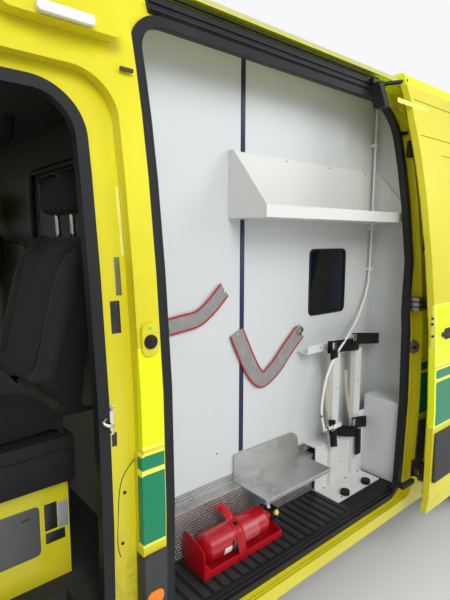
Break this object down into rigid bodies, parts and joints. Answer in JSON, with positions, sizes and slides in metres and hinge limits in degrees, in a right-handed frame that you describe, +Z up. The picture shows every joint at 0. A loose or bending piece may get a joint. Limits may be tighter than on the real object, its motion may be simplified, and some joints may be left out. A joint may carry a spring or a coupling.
{
  "type": "ambulance",
  "caption": "High-roof emergency ambulance on a panel van, with fitted side locker, steered front wheels, rolling wheels, hinged cab doors, rear doors and bonnet.",
  "frame": {"origin": "on the ground in the vehicle's middle plane, midway between the axles", "axes": "+X to the rear, -Y to the vehicle's left side, +Z up"},
  "size_m": [5.926, 3.3777, 2.7449],
  "materials": {
    "yellow_paint": "gloss bright yellow body paint",
    "underbody_paint": "matt black underbody coating",
    "glass_clear": "clear tinted safety glass",
    "glass_frosted": "dark frosted safety glass",
    "dark_glass": "black acrylic pane",
    "bumper_plastic": "grained dark grey plastic",
    "lamp_glass": "clear lamp cover",
    "lamp_red": "red lamp cover",
    "lamp_blue": "blue beacon cover",
    "cab_plastic": "grained cab plastic",
    "seat_cloth": "black woven seat cover",
    "white_board": "scuffed white lining board",
    "white_steel": "white powder coat",
    "checker_aluminium": "worn chequer plate and brushed sheet",
    "rubber_mat": "black ribbed rubber",
    "webbing": "grey webbing with red edges",
    "red_paint": "gloss red",
    "hose_plastic": "white hose",
    "cast_metal": "bare cast metal",
    "tank_plastic": "black moulded tank",
    "exhaust_steel": "dull exhaust steel",
    "tyre_rubber": "black tyre rubber",
    "rim_steel": "silver steel wheel"
  },
  "bodies": {
    "root": {"bulkhead": "white_board", "bumper_front": "bumper_plastic", "bumper_rear": "bumper_plastic", "cowl": "yellow_paint", "cylinder_rack": "white_steel", "dashboard": "cab_plastic", "door_rails": "bumper_plastic", "door_seals": "rubber_mat", "engine": "cast_metal", "exhaust": "exhaust_steel", "extinguisher": "red_paint", "extinguisher_cradle": "red_paint", "floor_pan": "underbody_paint", "fuel_tank": "tank_plastic", "grille": "bumper_plastic", "headlamps": "lamp_glass", "hose": "hose_plastic", "inner_windows": "dark_glass", "lamp_pods": "yellow_paint", "light_bar": "lamp_blue", "locker_wall": "white_board", "rear_axle": "underbody_paint", "riser_tray": "checker_aluminium", "roof": "yellow_paint", "seat_bases": "yellow_paint", "seat_driver": "seat_cloth", "seat_passenger": "seat_cloth", "shelf": "white_steel", "side_left": "yellow_paint", "side_mouldings": "bumper_plastic", "side_right": "yellow_paint", "sliding_door_left": "yellow_paint", "sliding_door_right": "yellow_paint", "step_mat": "rubber_mat", "straps": "webbing", "tail_lamps": "lamp_red", "windscreen": "glass_clear", "wings": "yellow_paint"},
    "knuckle_left": {"knuckle_left": "cast_metal"},
    "knuckle_right": {"knuckle_right": "cast_metal"},
    "steering_wheel": {"steering_wheel": "cab_plastic"},
    "wheel_front_left": {"tyre_front_left": "tyre_rubber", "rim_front_left": "rim_steel"},
    "wheel_front_right": {"tyre_front_right": "tyre_rubber", "rim_front_right": "rim_steel"},
    "wheel_rear_left": {"tyre_rear_left": "tyre_rubber", "rim_rear_left": "rim_steel"},
    "wheel_rear_right": {"tyre_rear_right": "tyre_rubber", "rim_rear_right": "rim_steel"},
    "cab_door_left": {"cab_door_left": "yellow_paint", "cab_glass_left": "glass_clear", "mirror_left": "bumper_plastic"},
    "cab_door_right": {"cab_door_right": "yellow_paint", "cab_glass_right": "glass_clear", "mirror_right": "bumper_plastic"},
    "rear_door_left": {"rear_door_left": "yellow_paint", "rear_glass_left": "glass_frosted"},
    "rear_door_right": {"rear_door_right": "yellow_paint", "rear_glass_right": "glass_frosted"},
    "bonnet": {"bonnet": "yellow_paint"}
  },
  "joints": [
    {"name": "steer_left", "type": "hinge", "parent": "root", "child": "knuckle_left", "pos_m": [-1.8325, -0.775, 0.356], "axis": [0, 0, 1], "range_deg": [-33, 33]},
    {"name": "steer_right", "type": "hinge", "parent": "root", "child": "knuckle_right", "pos_m": [-1.8325, 0.775, 0.356], "axis": [0, 0, 1], "range_deg": [-33, 33]},
    {"name": "steering_column", "type": "hinge", "parent": "root", "child": "steering_wheel", "pos_m": [-1.46, -0.48, 1.33], "axis": [0.6428, 0, 0.766], "range_deg": [-462, 462]},
    {"name": "roll_front_left", "type": "hinge", "parent": "knuckle_left", "child": "wheel_front_left", "pos_m": [-1.8325, -0.855, 0.356], "axis": [0, 1, 0], "continuous": true},
    {"name": "roll_front_right", "type": "hinge", "parent": "knuckle_right", "child": "wheel_front_right", "pos_m": [-1.8325, 0.855, 0.356], "axis": [0, 1, 0], "continuous": true},
    {"name": "roll_rear_left", "type": "hinge", "parent": "root", "child": "wheel_rear_left", "pos_m": [1.8325, -0.855, 0.356], "axis": [0, 1, 0], "continuous": true},
    {"name": "roll_rear_right", "type": "hinge", "parent": "root", "child": "wheel_rear_right", "pos_m": [1.8325, 0.855, 0.356], "axis": [0, 1, 0], "continuous": true},
    {"name": "cab_door_left_hinge", "type": "hinge", "parent": "root", "child": "cab_door_left", "pos_m": [-1.893, -0.998, 1], "axis": [0, 0, 1], "range_deg": [0, 70]},
    {"name": "cab_door_right_hinge", "type": "hinge", "parent": "root", "child": "cab_door_right", "pos_m": [-1.893, 0.998, 1], "axis": [0, 0, 1], "range_deg": [0, 70]},
    {"name": "rear_door_left_hinge", "type": "hinge", "parent": "root", "child": "rear_door_left", "pos_m": [3.0995, -0.86, 1.4], "axis": [0, 0, -1], "range_deg": [0, 180]},
    {"name": "rear_door_right_hinge", "type": "hinge", "parent": "root", "child": "rear_door_right", "pos_m": [3.0995, 0.86, 1.4], "axis": [0, 0, 1], "range_deg": [0, 180]},
    {"name": "bonnet_hinge", "type": "hinge", "parent": "root", "child": "bonnet", "pos_m": [-2.203, 0, 1.29], "axis": [0, 1, 0], "range_deg": [0, 55]}
  ],
  "couplings": [
    {"joint": "steer_right", "follows": "steer_left", "ratio": 1},
    {"joint": "steering_column", "follows": "steer_left", "ratio": 14}
  ]
}
